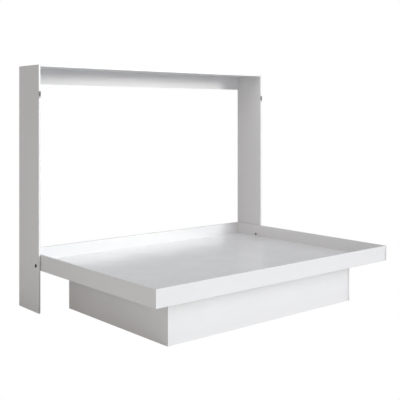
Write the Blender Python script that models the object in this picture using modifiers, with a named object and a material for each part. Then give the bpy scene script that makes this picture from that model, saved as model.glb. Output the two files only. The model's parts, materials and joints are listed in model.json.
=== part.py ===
"""Fold-down wall bed frame: an open portal stands against the wall, and a shallow mattress tray
with a boxed base under it swings up into the portal on two pivot bolts.

Frame: +X along the bed, +Y towards the wall, +Z up, floor at z = 0. The origin is the middle of
the floor area that the open bed covers. Run with: blender --background --python part.py
"""

import math

import bmesh
import bpy
from mathutils import Matrix, Vector

# Driving dimensions, in metres.
MATTRESS_LENGTH = 2.032
MATTRESS_WIDTH = 1.524
END_ROOM = 0.009            # free space between the mattress and each end rim
SIDE_ROOM = 0.0035          # free space between the mattress and the front or back rim
BOARD = 0.013               # thickness of every board but the tray floor
FLOOR_BOARD = 0.016
REVEAL = 0.003              # how far a front board sits back between its two side boards
FIT = 0.0003                # gap between faces that touch on the real thing

FRAME_HEIGHT = 1.675
FRAME_DEPTH = 0.2855
RAIL_HEIGHT = 0.1065
SIDE_GAP = 0.0035           # between the tray and each side panel
TRAY_REACH = 1.288          # how far the open tray stands out in front of the frame
BASE_HEIGHT = 0.2855
RIM_HEIGHT = 0.107
BASE_FRONT_INSET = 0.167    # from the tray's front edge
BASE_SIDE_INSET = 0.2113    # from the tray's outer side face
BASE_BACK_GAP = 0.008       # in front of the frame's front edges
RIB_SPACING = 0.54

PIVOT_SETBACK = 0.038       # behind the frame's front edges
PIVOT_HEIGHT = 0.316
LATCH_HEIGHT = 1.474

EDGE_RADIUS = 0.001         # softened edges of the boards
TONGUE = 0.005              # how far the floor's tongue enters the rims
TONGUE_THICKNESS = 0.006

DOWEL_RADIUS = 0.003
DOWEL_IN_SIDE = 0.008       # length of a dowel in the board whose face it enters
DOWEL_IN_END = 0.022        # length of a dowel in the board whose end it enters

BOLT_RADIUS = 0.005
BOLT_HEAD_RADIUS = 0.011
BOLT_HEAD_HEIGHT = 0.0045
BOLT_DOME_HEIGHT = 0.003
BOLT_TAIL = 0.0006          # what shows of the bolt past its nut
BUSH_RADIUS = 0.0068
BUSH_FLANGE_RADIUS = 0.0125
BUSH_FLANGE = 0.0012
SPACER_RADIUS = 0.012
WASHER_RADIUS = 0.0105
WASHER_THICKNESS = 0.0012
NUT_ACROSS_FLATS = 0.017
NUT_THICKNESS = 0.005

LATCH_LENGTH = 0.044
LATCH_WIDTH = 0.015
LATCH_THICKNESS = 0.0025
LATCH_SCREW_RADIUS = 0.002
LATCH_SCREW_LENGTH = 0.028
LATCH_WASHER_RADIUS = 0.0055
LATCH_WASHER_THICKNESS = 0.0012
LATCH_HEAD_RADIUS = 0.0042
LATCH_HEAD_HEIGHT = 0.0026

CLEAT = 0.025
CLEAT_END_ROOM = 0.012
BASE_SCREW_RADIUS = 0.0022
BASE_SCREW_BITE = 0.010     # depth in the tray floor
BASE_SCREW_HEAD_RADIUS = 0.0045
BASE_SCREW_HEAD = 0.003
BASE_SCREW_SETBACK = 0.12   # from the cleat's ends

WALL_HOLE_RADIUS = 0.003
WALL_HOLE_SPACING = 0.7
CAP_RADIUS = 0.0065
CAP_THICKNESS = 0.0012
CAP_STEM_RADIUS = 0.0026
CAP_STEM = 0.006

# Levels and planes that follow from them.
TRAY_LENGTH = MATTRESS_LENGTH + 2 * END_ROOM + 2 * BOARD
TRAY_WIDTH = MATTRESS_WIDTH + 2 * SIDE_ROOM + 2 * BOARD + REVEAL
FRAME_LENGTH = TRAY_LENGTH + 2 * SIDE_GAP + 2 * BOARD
HALF_FRAME = FRAME_LENGTH / 2
HALF_TRAY = TRAY_LENGTH / 2
HALF_BASE = HALF_TRAY - BASE_SIDE_INSET
WALL_Y = (TRAY_REACH + FRAME_DEPTH) / 2
FRONT_Y = WALL_Y - FRAME_DEPTH
TRAY_FRONT = FRONT_Y - TRAY_REACH
TRAY_BACK = TRAY_FRONT + TRAY_WIDTH
TRAY_BOTTOM = BASE_HEIGHT
TRAY_TOP = TRAY_BOTTOM + RIM_HEIGHT
RIM_FRONT = TRAY_FRONT + REVEAL
INNER_FRONT = RIM_FRONT + BOARD
INNER_BACK = TRAY_BACK - BOARD
TONGUE_MIDDLE = TRAY_BOTTOM + FLOOR_BOARD / 2
BASE_FRONT = TRAY_FRONT + BASE_FRONT_INSET
BASE_BACK = FRONT_Y - BASE_BACK_GAP
PIVOT = Vector((0.0, FRONT_Y + PIVOT_SETBACK, PIVOT_HEIGHT))
RAIL_MIDDLE = FRAME_HEIGHT - BOARD - RAIL_HEIGHT / 2
LATCH_X = HALF_FRAME - BOARD / 2

SIDES = (("left", -1), ("right", 1))
ROUND = 24                  # sides of the turned hardware
SMALL_ROUND = 12            # sides of dowels, screws and caps


def clear_scene():
    """Removes every object, so that the model starts from nothing."""
    for old in list(bpy.data.objects):
        bpy.data.objects.remove(old, do_unlink=True)


def new_collection(name):
    """Makes a collection in the scene, in place of one of the same name."""
    old = bpy.data.collections.get(name)
    if old:
        bpy.data.collections.remove(old)
    collection = bpy.data.collections.new(name)
    bpy.context.scene.collection.children.link(collection)
    return collection


def new_material(name, colour, roughness, metallic=0.0):
    """Makes a Principled material."""
    material = bpy.data.materials.new(name)
    material.use_nodes = True
    shader = material.node_tree.nodes["Principled BSDF"]
    shader.inputs["Base Color"].default_value = (*colour, 1.0)
    shader.inputs["Roughness"].default_value = roughness
    shader.inputs["Metallic"].default_value = metallic
    material.diffuse_color = (*colour, 1.0)
    return material


def white_board():
    return new_material("white_board", (0.86, 0.86, 0.87), 0.35)


def bare_wood():
    return new_material("bare_wood", (0.62, 0.46, 0.29), 0.7)


def dark_steel():
    return new_material("dark_steel", (0.08, 0.08, 0.085), 0.4, 1.0)


def zinc_steel():
    return new_material("zinc_steel", (0.45, 0.45, 0.46), 0.38, 1.0)


def white_plastic():
    return new_material("white_plastic", (0.85, 0.85, 0.86), 0.45)


def grey_nylon():
    return new_material("grey_nylon", (0.5, 0.5, 0.5), 0.55)


def adopt(obj, name, collection, material=None, parent=None):
    """Names an object, puts it in its collection and gives it a material and a parent."""
    obj.name = name
    obj.data.name = name
    for other in list(obj.users_collection):
        other.objects.unlink(obj)
    collection.objects.link(obj)
    if material:
        obj.data.materials.clear()
        obj.data.materials.append(material)
    if parent:
        obj.location = obj.location - parent.location
        obj.parent = parent
    return obj


def apply_scale(obj):
    """Moves an object's scale into its mesh."""
    obj.data.transform(obj.matrix_basis.to_3x3().to_4x4())
    obj.matrix_basis = Matrix.Translation(obj.location)


def block(name, low, high, collection, material=None, parent=None):
    """A plain box between two corners."""
    low = Vector(low)
    high = Vector(high)
    bpy.ops.mesh.primitive_cube_add(size=1.0, location=(low + high) / 2)
    obj = bpy.context.object
    obj.scale = high - low
    apply_scale(obj)
    return adopt(obj, name, collection, material, parent)


def soften(obj, width=EDGE_RADIUS, segments=2):
    """Rounds an object's edges."""
    bevel = obj.modifiers.new("softened edges", "BEVEL")
    bevel.width = width
    bevel.segments = segments
    bevel.limit_method = "ANGLE"
    return obj


def board(name, low, high, collection, material, parent=None):
    """A board with softened edges."""
    return soften(block(name, low, high, collection, material, parent))


def rod(name, start, end, radius, collection, material=None, parent=None, sides=SMALL_ROUND):
    """A round bar between two points."""
    start = Vector(start)
    along = Vector(end) - start
    bpy.ops.mesh.primitive_cylinder_add(vertices=sides, radius=radius, depth=along.length)
    obj = bpy.context.object
    turn = along.to_track_quat("Z", "Y").to_matrix().to_4x4()
    obj.data.transform(turn)
    obj.location = start + along / 2
    obj.data.shade_smooth()
    obj.data.set_sharp_from_angle(angle=math.radians(40))
    return adopt(obj, name, collection, material, parent)


def cut(obj, cutter, operation="DIFFERENCE"):
    """Cuts one object with another, or joins it on."""
    boolean = obj.modifiers.new(cutter.name, "BOOLEAN")
    boolean.operation = operation
    boolean.solver = "EXACT"
    boolean.object = cutter
    cutter.hide_render = True
    cutter.display_type = "WIRE"
    return obj


def dome(radius, height, steps=4):
    """The profile of a quarter ellipse from the middle of a domed head to its rim."""
    angles = [math.pi / 2 * step / steps for step in range(steps + 1)]
    return [(radius * math.sin(angle), height * (1 - math.cos(angle))) for angle in angles]


def turned(name, profile, origin, side, collection, material, parent=None, sides=ROUND):
    """A turned piece on the X axis. The profile is (radius, distance inwards) from its outer face
    to its inner one, and side is -1 or +1 for the bed's left or right end."""
    mesh = bpy.data.meshes.new(name)
    points = [(radius, 0.0, -depth) for radius, depth in profile]
    edges = [(index, index + 1) for index in range(len(points) - 1)]
    mesh.from_pydata(points, edges, [])
    obj = bpy.data.objects.new(name, mesh)
    bpy.context.scene.collection.objects.link(obj)
    screw = obj.modifiers.new("turned", "SCREW")
    screw.axis = "Z"
    screw.angle = math.tau
    screw.steps = sides
    screw.render_steps = sides
    screw.use_merge_vertices = True
    screw.merge_threshold = 0.00001
    screw.use_smooth_shade = True
    obj.rotation_euler = (0.0, side * math.pi / 2, 0.0)
    obj.location = origin
    return adopt(obj, name, collection, material, parent)


# ---------------------------------------------------------------- the frame

def side_panels(parts, cutters, material):
    """The two uprights, each with its pivot hole, its latch screw's hole and dowel holes."""
    for side, sign in SIDES:
        low_x, high_x = sorted((sign * HALF_FRAME, sign * (HALF_FRAME - BOARD)))
        panel = board(f"{side}_side_panel", (low_x, FRONT_Y, 0), (high_x, WALL_Y, FRAME_HEIGHT),
                      parts, material)
        middle = Vector((sign * (HALF_FRAME - BOARD / 2), 0, 0))
        through = Vector((BOARD, 0, 0))
        pivot_hole = rod(f"{side}_pivot_hole", middle + PIVOT - through, middle + PIVOT + through,
                         BUSH_RADIUS + FIT, cutters, sides=ROUND)
        cut(panel, pivot_hole)
        screw_hole = rod(f"{side}_latch_screw_hole",
                         (sign * LATCH_X, FRONT_Y - BOARD, LATCH_HEIGHT),
                         (sign * LATCH_X, FRONT_Y + LATCH_SCREW_LENGTH + FIT, LATCH_HEIGHT),
                         LATCH_SCREW_RADIUS + FIT, cutters)
        cut(panel, screw_hole)


def top_panel(parts, material):
    """The board across the top, between the uprights."""
    half = HALF_FRAME - BOARD - FIT
    return board("top_panel", (-half, FRONT_Y, FRAME_HEIGHT - BOARD), (half, WALL_Y, FRAME_HEIGHT),
                 parts, material)


def back_rail(parts, cutters, material):
    """The rail under the top panel, flush with the wall, with holes for the wall screws."""
    half = HALF_FRAME - BOARD - FIT
    top = FRAME_HEIGHT - BOARD
    rail = board("back_rail", (-half, WALL_Y - BOARD, top - RAIL_HEIGHT),
                 (half, WALL_Y, top - FIT), parts, material)
    for index in (-1, 0, 1):
        x = index * WALL_HOLE_SPACING
        hole = rod(f"wall_screw_hole_{index + 2}", (x, WALL_Y - 2 * BOARD, RAIL_MIDDLE),
                   (x, WALL_Y + BOARD, RAIL_MIDDLE), WALL_HOLE_RADIUS, cutters)
        cut(rail, hole)
    return rail


def wall_screw_caps(parts, cutters, material):
    """Push-in caps over the wall screws' holes."""
    face = WALL_Y - BOARD - FIT
    for name, index in (("left", -1), ("middle", 0), ("right", 1)):
        x = index * WALL_HOLE_SPACING
        cap = rod(f"wall_screw_cap_{name}", (x, face - CAP_THICKNESS, RAIL_MIDDLE),
                  (x, face, RAIL_MIDDLE), CAP_RADIUS, parts, material)
        stem = rod(f"cap_stem_{name}", (x, face - CAP_THICKNESS / 2, RAIL_MIDDLE),
                   (x, face + CAP_STEM, RAIL_MIDDLE), CAP_STEM_RADIUS, cutters)
        cut(cap, stem, "UNION")


def dowel(name, inner_face, sign, y, z, side_board, end_board, parts, cutters, material,
          parent=None):
    """A dowel along X from an upright board, whose inner face is given, into a cross board's end,
    with the hole that it needs in both."""
    start = Vector((inner_face + sign * DOWEL_IN_SIDE, y, z))
    end = Vector((inner_face - sign * DOWEL_IN_END, y, z))
    extra = Vector((sign * FIT, 0, 0))
    hole = rod(f"{name}_hole", start + extra, end - extra, DOWEL_RADIUS + FIT, cutters)
    cut(side_board, hole)
    cut(end_board, hole)
    return rod(name, start, end, DOWEL_RADIUS, parts, material, parent)


def frame_dowels(parts, cutters, material):
    """The dowels that hold the top panel and the rail between the uprights."""
    objects = bpy.data.objects
    top_z = FRAME_HEIGHT - BOARD / 2
    rail_y = WALL_Y - BOARD / 2
    for side, sign in SIDES:
        upright = objects[f"{side}_side_panel"]
        inner_face = sign * (HALF_FRAME - BOARD)
        for place, y in (("front", FRONT_Y + FRAME_DEPTH / 5), ("back", WALL_Y - FRAME_DEPTH / 5)):
            dowel(f"top_dowel_{side}_{place}", inner_face, sign, y, top_z, upright,
                  objects["top_panel"], parts, cutters, material)
        for place, drop in (("upper", 1), ("lower", -1)):
            dowel(f"rail_dowel_{side}_{place}", inner_face, sign, rail_y,
                  RAIL_MIDDLE + drop * RAIL_HEIGHT / 4, upright, objects["back_rail"],
                  parts, cutters, material)


# ---------------------------------------------------------------- the tray

def tray_rims(parts, cutters, material, pivot):
    """The tray's four walls. The end walls run through, and each wall is grooved for the floor."""
    groove = block("floor_groove",
                   (-HALF_TRAY + BOARD - TONGUE - FIT, INNER_FRONT - TONGUE - FIT,
                    TONGUE_MIDDLE - TONGUE_THICKNESS / 2 - FIT),
                   (HALF_TRAY - BOARD + TONGUE + FIT, INNER_BACK + TONGUE + FIT,
                    TONGUE_MIDDLE + TONGUE_THICKNESS / 2 + FIT), cutters)
    half = HALF_TRAY - BOARD - FIT
    rims = {
        "front": board("tray_front_rim", (-half, RIM_FRONT, TRAY_BOTTOM),
                       (half, INNER_FRONT, TRAY_TOP), parts, material, pivot),
        "back": board("tray_back_rim", (-half, INNER_BACK, TRAY_BOTTOM),
                      (half, TRAY_BACK, TRAY_TOP), parts, material, pivot),
    }
    for side, sign in SIDES:
        low_x, high_x = sorted((sign * HALF_TRAY, sign * (HALF_TRAY - BOARD)))
        rim = board(f"tray_{side}_rim", (low_x, TRAY_FRONT, TRAY_BOTTOM),
                    (high_x, TRAY_BACK, TRAY_TOP), parts, material, pivot)
        middle = PIVOT + Vector((sign * (HALF_TRAY - BOARD / 2), 0, 0))
        through = Vector((BOARD, 0, 0))
        cut(rim, rod(f"tray_{side}_bolt_hole", middle - through, middle + through,
                     BOLT_RADIUS + FIT, cutters, sides=ROUND))
        rims[side] = rim
    for rim in rims.values():
        cut(rim, groove)
    return rims


def tray_floor(parts, cutters, material, pivot):
    """The floor board with a tongue all round."""
    half = HALF_TRAY - BOARD
    floor = block("tray_floor", (-half + FIT, INNER_FRONT + FIT, TRAY_BOTTOM),
                  (half - FIT, INNER_BACK - FIT, TRAY_BOTTOM + FLOOR_BOARD),
                  parts, material, pivot)
    tongue = block("floor_tongue",
                   (-half - TONGUE, INNER_FRONT - TONGUE, TONGUE_MIDDLE - TONGUE_THICKNESS / 2),
                   (half + TONGUE, INNER_BACK + TONGUE, TONGUE_MIDDLE + TONGUE_THICKNESS / 2),
                   cutters)
    return cut(floor, tongue, "UNION")


def tray_dowels(rims, parts, cutters, material, pivot):
    """The dowels in the tray's four corners."""
    rows = (("front", RIM_FRONT + BOARD / 2), ("back", TRAY_BACK - BOARD / 2))
    heights = (("upper", TRAY_TOP - RIM_HEIGHT / 5), ("lower", TRAY_BOTTOM + RIM_HEIGHT / 3))
    for side, sign in SIDES:
        inner_face = sign * (HALF_TRAY - BOARD)
        for row, y in rows:
            for level, z in heights:
                dowel(f"tray_dowel_{row}_{side}_{level}", inner_face, sign, y, z, rims[side],
                      rims[row], parts, cutters, material, pivot)


# ---------------------------------------------------------------- the pivots

def pivot_hardware(parts, cutters, dark, zinc, nylon, pivot):
    """At each end: a flanged bush in the upright, and a bolt, spacer, washer and nut on the tray."""
    bore = BOLT_RADIUS + FIT
    for side, sign in SIDES:
        outer = PIVOT + Vector((sign * HALF_FRAME, 0, 0))
        flange = [(bore, 0), (BUSH_FLANGE_RADIUS, 0), (BUSH_FLANGE_RADIUS, BUSH_FLANGE),
                  (BUSH_RADIUS, BUSH_FLANGE), (BUSH_RADIUS, BUSH_FLANGE + FIT + BOARD),
                  (bore, BUSH_FLANGE + FIT + BOARD), (bore, 0)]
        bush_face = outer + Vector((sign * (BUSH_FLANGE + FIT), 0, 0))
        turned(f"{side}_pivot_bush", flange, bush_face, sign, parts, nylon)

        spacer_wall = SIDE_GAP - 2 * FIT
        spacer = [(bore, 0), (SPACER_RADIUS, 0), (SPACER_RADIUS, spacer_wall), (bore, spacer_wall),
                  (bore, 0)]
        spacer_face = outer - Vector((sign * (BOARD + FIT), 0, 0))
        turned(f"{side}_pivot_spacer", spacer, spacer_face, sign, parts, nylon, pivot)

        inner = PIVOT + Vector((sign * (HALF_TRAY - BOARD - FIT), 0, 0))
        washer = [(bore, 0), (WASHER_RADIUS, 0), (WASHER_RADIUS, WASHER_THICKNESS),
                  (bore, WASHER_THICKNESS), (bore, 0)]
        turned(f"{side}_pivot_washer", washer, inner, sign, parts, zinc, pivot)

        nut_start = inner - Vector((sign * (WASHER_THICKNESS + FIT), 0, 0))
        nut_end = nut_start - Vector((sign * NUT_THICKNESS, 0, 0))
        nut_corner = NUT_ACROSS_FLATS / math.sqrt(3)
        nut = rod(f"{side}_pivot_nut", nut_start, nut_end, nut_corner, parts, zinc, pivot, sides=6)
        overrun = Vector((sign * NUT_THICKNESS, 0, 0))
        cut(nut, rod(f"{side}_nut_thread", nut_start + overrun, nut_end - overrun, bore, cutters,
                     sides=ROUND))

        head_face = bush_face + Vector((sign * (FIT + BOLT_HEAD_HEIGHT), 0, 0))
        bolt_length = (head_face - nut_end).length + BOLT_TAIL
        bolt = dome(BOLT_HEAD_RADIUS, BOLT_DOME_HEIGHT)
        bolt += [(BOLT_HEAD_RADIUS, BOLT_HEAD_HEIGHT), (BOLT_RADIUS, BOLT_HEAD_HEIGHT),
                 (BOLT_RADIUS, bolt_length), (0, bolt_length)]
        turned(f"{side}_pivot_bolt", bolt, head_face, sign, parts, dark, pivot)


# ---------------------------------------------------------------- the base

def base_boards(parts, material, pivot):
    """The boxed base: side boards that run through, with the others set between them."""
    top = TRAY_BOTTOM - FIT
    half = HALF_BASE - BOARD - FIT
    front_inner = BASE_FRONT + REVEAL + BOARD
    back_inner = BASE_BACK - BOARD
    for side, sign in SIDES:
        low_x, high_x = sorted((sign * HALF_BASE, sign * (HALF_BASE - BOARD)))
        board(f"base_{side}_panel", (low_x, BASE_FRONT, 0), (high_x, BASE_BACK, top),
              parts, material, pivot)
        rib_low, rib_high = sorted((sign * RIB_SPACING / 2, sign * (RIB_SPACING / 2 + BOARD)))
        block(f"base_rib_{side}", (rib_low, front_inner + FIT, BOARD + FIT),
              (rib_high, back_inner - FIT, top), parts, material, pivot)
    board("base_front_panel", (-half, BASE_FRONT + REVEAL, 0), (half, front_inner, top),
          parts, material, pivot)
    board("base_back_panel", (-half, back_inner, 0), (half, BASE_BACK, top),
          parts, material, pivot)
    block("base_bottom_panel", (-half, front_inner + FIT, 0), (half, back_inner - FIT, BOARD),
          parts, material, pivot)


def base_cleats(floor, parts, cutters, wood, zinc, pivot):
    """Battens round the top of the base, and the screws that hold the tray's floor down on them."""
    top = TRAY_BOTTOM - FIT
    front_inner = BASE_FRONT + REVEAL + BOARD + FIT
    back_inner = BASE_BACK - BOARD - FIT
    half = RIB_SPACING / 2 - CLEAT_END_ROOM
    block("base_cleat_front", (-half, front_inner, top - CLEAT), (half, front_inner + CLEAT, top),
          parts, wood, pivot)
    block("base_cleat_back", (-half, back_inner - CLEAT, top - CLEAT), (half, back_inner, top),
          parts, wood, pivot)
    for side, sign in SIDES:
        face = sign * (HALF_BASE - BOARD - FIT)
        low_x, high_x = sorted((face, face - sign * CLEAT))
        start = front_inner + CLEAT_END_ROOM
        stop = back_inner - CLEAT_END_ROOM
        cleat = block(f"base_cleat_{side}", (low_x, start, top - CLEAT), (high_x, stop, top),
                      parts, wood, pivot)
        for place, y in (("front", start + BASE_SCREW_SETBACK), ("back", stop - BASE_SCREW_SETBACK)):
            x = face - sign * CLEAT / 2
            under = top - CLEAT - FIT
            tip = TRAY_BOTTOM + BASE_SCREW_BITE
            hole = rod(f"base_screw_hole_{side}_{place}", (x, y, under - CLEAT), (x, y, tip + FIT),
                       BASE_SCREW_RADIUS + FIT, cutters)
            cut(cleat, hole)
            cut(floor, hole)
            screw = rod(f"base_screw_{side}_{place}", (x, y, under - BASE_SCREW_HEAD),
                        (x, y, under), BASE_SCREW_HEAD_RADIUS, parts, zinc, pivot)
            cut(screw, rod(f"base_screw_shank_{side}_{place}",
                           (x, y, under - BASE_SCREW_HEAD / 2), (x, y, tip),
                           BASE_SCREW_RADIUS, cutters), "UNION")


# ---------------------------------------------------------------- the latches

def latches(parts, cutters, zinc, dark):
    """A turn button on the front edge of each upright, on its own screw and washer. Each plate's
    origin is on its screw's axis, about which it turns."""
    for side, sign in SIDES:
        centre = Vector((sign * LATCH_X, FRONT_Y, LATCH_HEIGHT))
        forward = Vector((0, -1, 0))
        washer_back = centre + forward * FIT
        washer_front = washer_back + forward * LATCH_WASHER_THICKNESS
        washer = rod(f"{side}_latch_washer", washer_back, washer_front, LATCH_WASHER_RADIUS,
                     parts, zinc, sides=ROUND)
        plate_back = washer_front + forward * FIT
        plate_front = plate_back + forward * LATCH_THICKNESS
        plate = latch_plate(f"{side}_latch", (plate_back + plate_front) / 2, parts, dark)
        hole = rod(f"{side}_latch_bore", centre - forward * BOARD, centre + forward * BOARD,
                   LATCH_SCREW_RADIUS + FIT, cutters, sides=ROUND)
        cut(washer, hole)
        cut(plate, hole)
        head_back = plate_front + forward * FIT
        head_front = head_back + forward * LATCH_HEAD_HEIGHT
        screw = rod(f"{side}_latch_screw", head_back, head_front, LATCH_HEAD_RADIUS, parts, dark,
                    sides=ROUND)
        soften(screw, LATCH_HEAD_HEIGHT / 3)
        shank_end = centre - forward * LATCH_SCREW_LENGTH
        cut(screw, rod(f"{side}_latch_screw_shank", head_back + forward * LATCH_HEAD_HEIGHT / 2,
                       shank_end, LATCH_SCREW_RADIUS, cutters), "UNION")


def latch_plate(name, centre, parts, material):
    """A flat bar with round ends, drawn as an outline in its own plane."""
    curve = bpy.data.curves.new(name, "CURVE")
    curve.dimensions = "2D"
    curve.fill_mode = "BOTH"
    curve.extrude = LATCH_THICKNESS / 2
    outline = curve.splines.new("POLY")
    radius = LATCH_WIDTH / 2
    straight = LATCH_LENGTH / 2 - radius
    steps = 12
    points = []
    for end, start_angle in ((straight, 0.0), (-straight, math.pi)):
        for step in range(steps + 1):
            angle = start_angle + math.pi * step / steps
            points.append((radius * math.cos(angle), end + radius * math.sin(angle), 0.0, 1.0))
    outline.points.add(len(points) - 1)
    for point, place in zip(outline.points, points):
        point.co = place
    outline.use_cyclic_u = True
    drawn = bpy.data.objects.new(name, curve)
    bpy.context.scene.collection.objects.link(drawn)
    bpy.context.view_layer.update()
    evaluated = drawn.evaluated_get(bpy.context.evaluated_depsgraph_get())
    mesh = bpy.data.meshes.new_from_object(evaluated)
    bpy.data.objects.remove(drawn)
    weld(mesh)
    plate = bpy.data.objects.new(name, mesh)
    bpy.context.scene.collection.objects.link(plate)
    plate.rotation_euler = (math.pi / 2, 0.0, 0.0)
    plate.location = centre
    return adopt(plate, name, parts, material)


def weld(mesh):
    """Joins a mesh's loose caps to its walls."""
    shape = bmesh.new()
    shape.from_mesh(mesh)
    bmesh.ops.remove_doubles(shape, verts=shape.verts, dist=0.00001)
    shape.to_mesh(mesh)
    shape.free()


def main():
    clear_scene()
    parts = new_collection("wall_bed_frame")
    cutters = new_collection("cutters")
    white = white_board()
    wood = bare_wood()
    dark = dark_steel()
    zinc = zinc_steel()
    plastic = white_plastic()
    nylon = grey_nylon()

    pivot = bpy.data.objects.new("tray_pivot", None)
    pivot.location = PIVOT
    parts.objects.link(pivot)

    side_panels(parts, cutters, white)
    top_panel(parts, white)
    back_rail(parts, cutters, white)
    wall_screw_caps(parts, cutters, plastic)
    frame_dowels(parts, cutters, wood)

    rims = tray_rims(parts, cutters, white, pivot)
    floor = tray_floor(parts, cutters, white, pivot)
    tray_dowels(rims, parts, cutters, wood, pivot)
    pivot_hardware(parts, cutters, dark, zinc, nylon, pivot)

    base_boards(parts, white, pivot)
    base_cleats(floor, parts, cutters, wood, zinc, pivot)
    latches(parts, cutters, zinc, dark)


main()
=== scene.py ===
# %% [markdown]
# # A fold-down wall bed frame
#
# Two uprights, a top panel and a rail make a portal that stands against a wall. A shallow tray for
# the mattress, with a boxed base under it, turns on two bolts and folds up into the portal. Every
# board is white faced chipboard with a glued edge band, and the rest is small hardware.
#
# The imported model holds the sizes, the places and the motion. This script makes each piece again
# at finish quality in the same place, and hides the plain solid that it stands for.

import json
import math

import bmesh
import bpy
import numpy as np
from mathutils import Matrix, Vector


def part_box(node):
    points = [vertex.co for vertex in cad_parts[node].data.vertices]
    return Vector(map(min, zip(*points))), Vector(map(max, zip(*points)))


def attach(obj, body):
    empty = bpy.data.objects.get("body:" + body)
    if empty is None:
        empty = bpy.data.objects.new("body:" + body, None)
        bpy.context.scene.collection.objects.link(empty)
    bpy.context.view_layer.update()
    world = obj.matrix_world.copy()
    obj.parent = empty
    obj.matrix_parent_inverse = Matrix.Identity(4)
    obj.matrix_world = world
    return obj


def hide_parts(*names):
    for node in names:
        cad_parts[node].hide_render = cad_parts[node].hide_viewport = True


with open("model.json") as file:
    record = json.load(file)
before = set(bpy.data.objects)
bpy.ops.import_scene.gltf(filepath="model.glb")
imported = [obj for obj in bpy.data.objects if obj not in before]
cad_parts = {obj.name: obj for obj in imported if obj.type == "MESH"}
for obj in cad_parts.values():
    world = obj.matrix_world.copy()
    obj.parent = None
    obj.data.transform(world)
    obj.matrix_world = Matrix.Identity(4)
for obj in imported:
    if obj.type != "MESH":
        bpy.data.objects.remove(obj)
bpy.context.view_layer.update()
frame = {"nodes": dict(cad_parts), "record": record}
body_of_node = {node: body for body, members in frame["record"]["behaviour"]["bodies"].items()
                for node in members}
SIDES = (("left", -1), ("right", 1))        # each side and its sign along X


def corners_of(node):
    """A node's lowest and highest corner as arrays."""
    low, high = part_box(node)
    return np.array(low), np.array(high)


# %% [markdown]
# ## The view
#
# The camera is level and looks at the open bed from its front left, so upright edges stay upright
# in the picture. A level camera would put the horizon in the middle; a lens shift slides the
# picture down instead of tilting the camera. Its place is given in shares of the frame's height,
# counted from the foot of the left upright, so it would follow the frame if that were resized.

# %% Camera
upright_low, upright_high = corners_of("left_side_panel")
frame_height = upright_high[2]

SHARE_LEFT = 1.432
SHARE_FRONT = 2.692
SHARE_UP = 0.8012
HEADING = math.radians(40.255)      # turned from the wall towards the bed's right end
LENS = 66.88
LENS_SHIFT = -0.215

camera = bpy.data.objects.new("camera", bpy.data.cameras.new("camera"))
bpy.context.scene.collection.objects.link(camera)
camera.location = (upright_low[0] - SHARE_LEFT * frame_height,
                   upright_low[1] - SHARE_FRONT * frame_height,
                   SHARE_UP * frame_height)
camera.rotation_euler = (math.radians(90), 0, -HEADING)
camera.data.lens = LENS
camera.data.shift_y = LENS_SHIFT
bpy.context.scene.camera = camera
print("camera stands at", [round(value, 3) for value in camera.location])

# %% [markdown]
# ## The studio
#
# The bed stands in a bright white studio. The key light is low, at the front right, and not very
# wide, so the rims throw long shadows over the tray's floor that fade out towards the wall. A
# broader light above it softens them. Softboxes overhead, at the left and in front lift the sides
# that the key misses, and a weak light on the wall's side keeps the back from going dull. A spread
# is how wide a light looks: the wider it is, the softer its shadows.

# %% Lights
SUNS = {                # turn from the front towards the right, height, spread, strength, colour
    "key": (36, 12, 14, 1.12, (0.99, 1.0, 0.94)),
    "low": (36, 5, 5, 0.04, (1.0, 0.96, 1.0)),
    "broad": (25, 25, 30, 0.86, (0.88, 0.93, 1.0)),
    "left": (-60, 15, 30, 0.20, (1.0, 0.72, 0.61)),
    "wall_side": (180, 6, 12, 0.47, (1.0, 1.0, 1.0)),
}
SOFTBOXES = {           # place, what it looks at, power, colour
    "overhead": ((0.0, -0.3, 3.2), (0.0, -0.2, 0.0), 29.5, (0.95, 0.98, 1.0)),
    "side": ((-3.5, -0.5, 1.0), (0.0, 0.0, 0.4), 8.0, (0.94, 1.0, 0.88)),
    "front": ((0.5, -4.5, 1.5), (0.0, 0.0, 0.6), 15.4, (0.90, 0.88, 1.0)),
}
SOFTBOX_SIZE = 2.0


def add_light(name, kind, stand, target, energy, colour):
    """A light that stands at a place and shines on a target."""
    light = bpy.data.lights.new(name, kind)
    light.energy = energy
    light.color = colour
    holder = bpy.data.objects.new(name, light)
    bpy.context.scene.collection.objects.link(holder)
    holder.location = stand
    holder.rotation_euler = (Vector(stand) - Vector(target)).to_track_quat("Z", "Y").to_euler()
    holder.visible_camera = False
    return light


for name, (turn, rise, width, energy, colour) in SUNS.items():
    turn, rise = math.radians(turn), math.radians(rise)
    towards = (math.sin(turn) * math.cos(rise), -math.cos(turn) * math.cos(rise), math.sin(rise))
    add_light(name, "SUN", towards, (0, 0, 0), energy, colour).angle = math.radians(width)
for name, (stand, target, energy, colour) in SOFTBOXES.items():
    add_light(name, "AREA", stand, target, energy, colour).size = SOFTBOX_SIZE
print(len(SUNS), "suns and", len(SOFTBOXES), "softboxes")

# %% [markdown]
# The paper floor and the white room behind it are plain white to the camera only. A Light Path
# node tells the camera's rays from the others, which meet a pale floor and a dim room, so they
# don't throw more light on the bed than those would. A white light tent would do both at once,
# but it would wash out the shadows in the tray.

# %% Floor and room
AMBIENT = (0.98, 0.97, 1.0)
AMBIENT_STRENGTH = 0.305
FLOOR_SIZE = 60.0
PAPER_TONE = 0.8
PAPER_ROUGHNESS = 0.9


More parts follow.
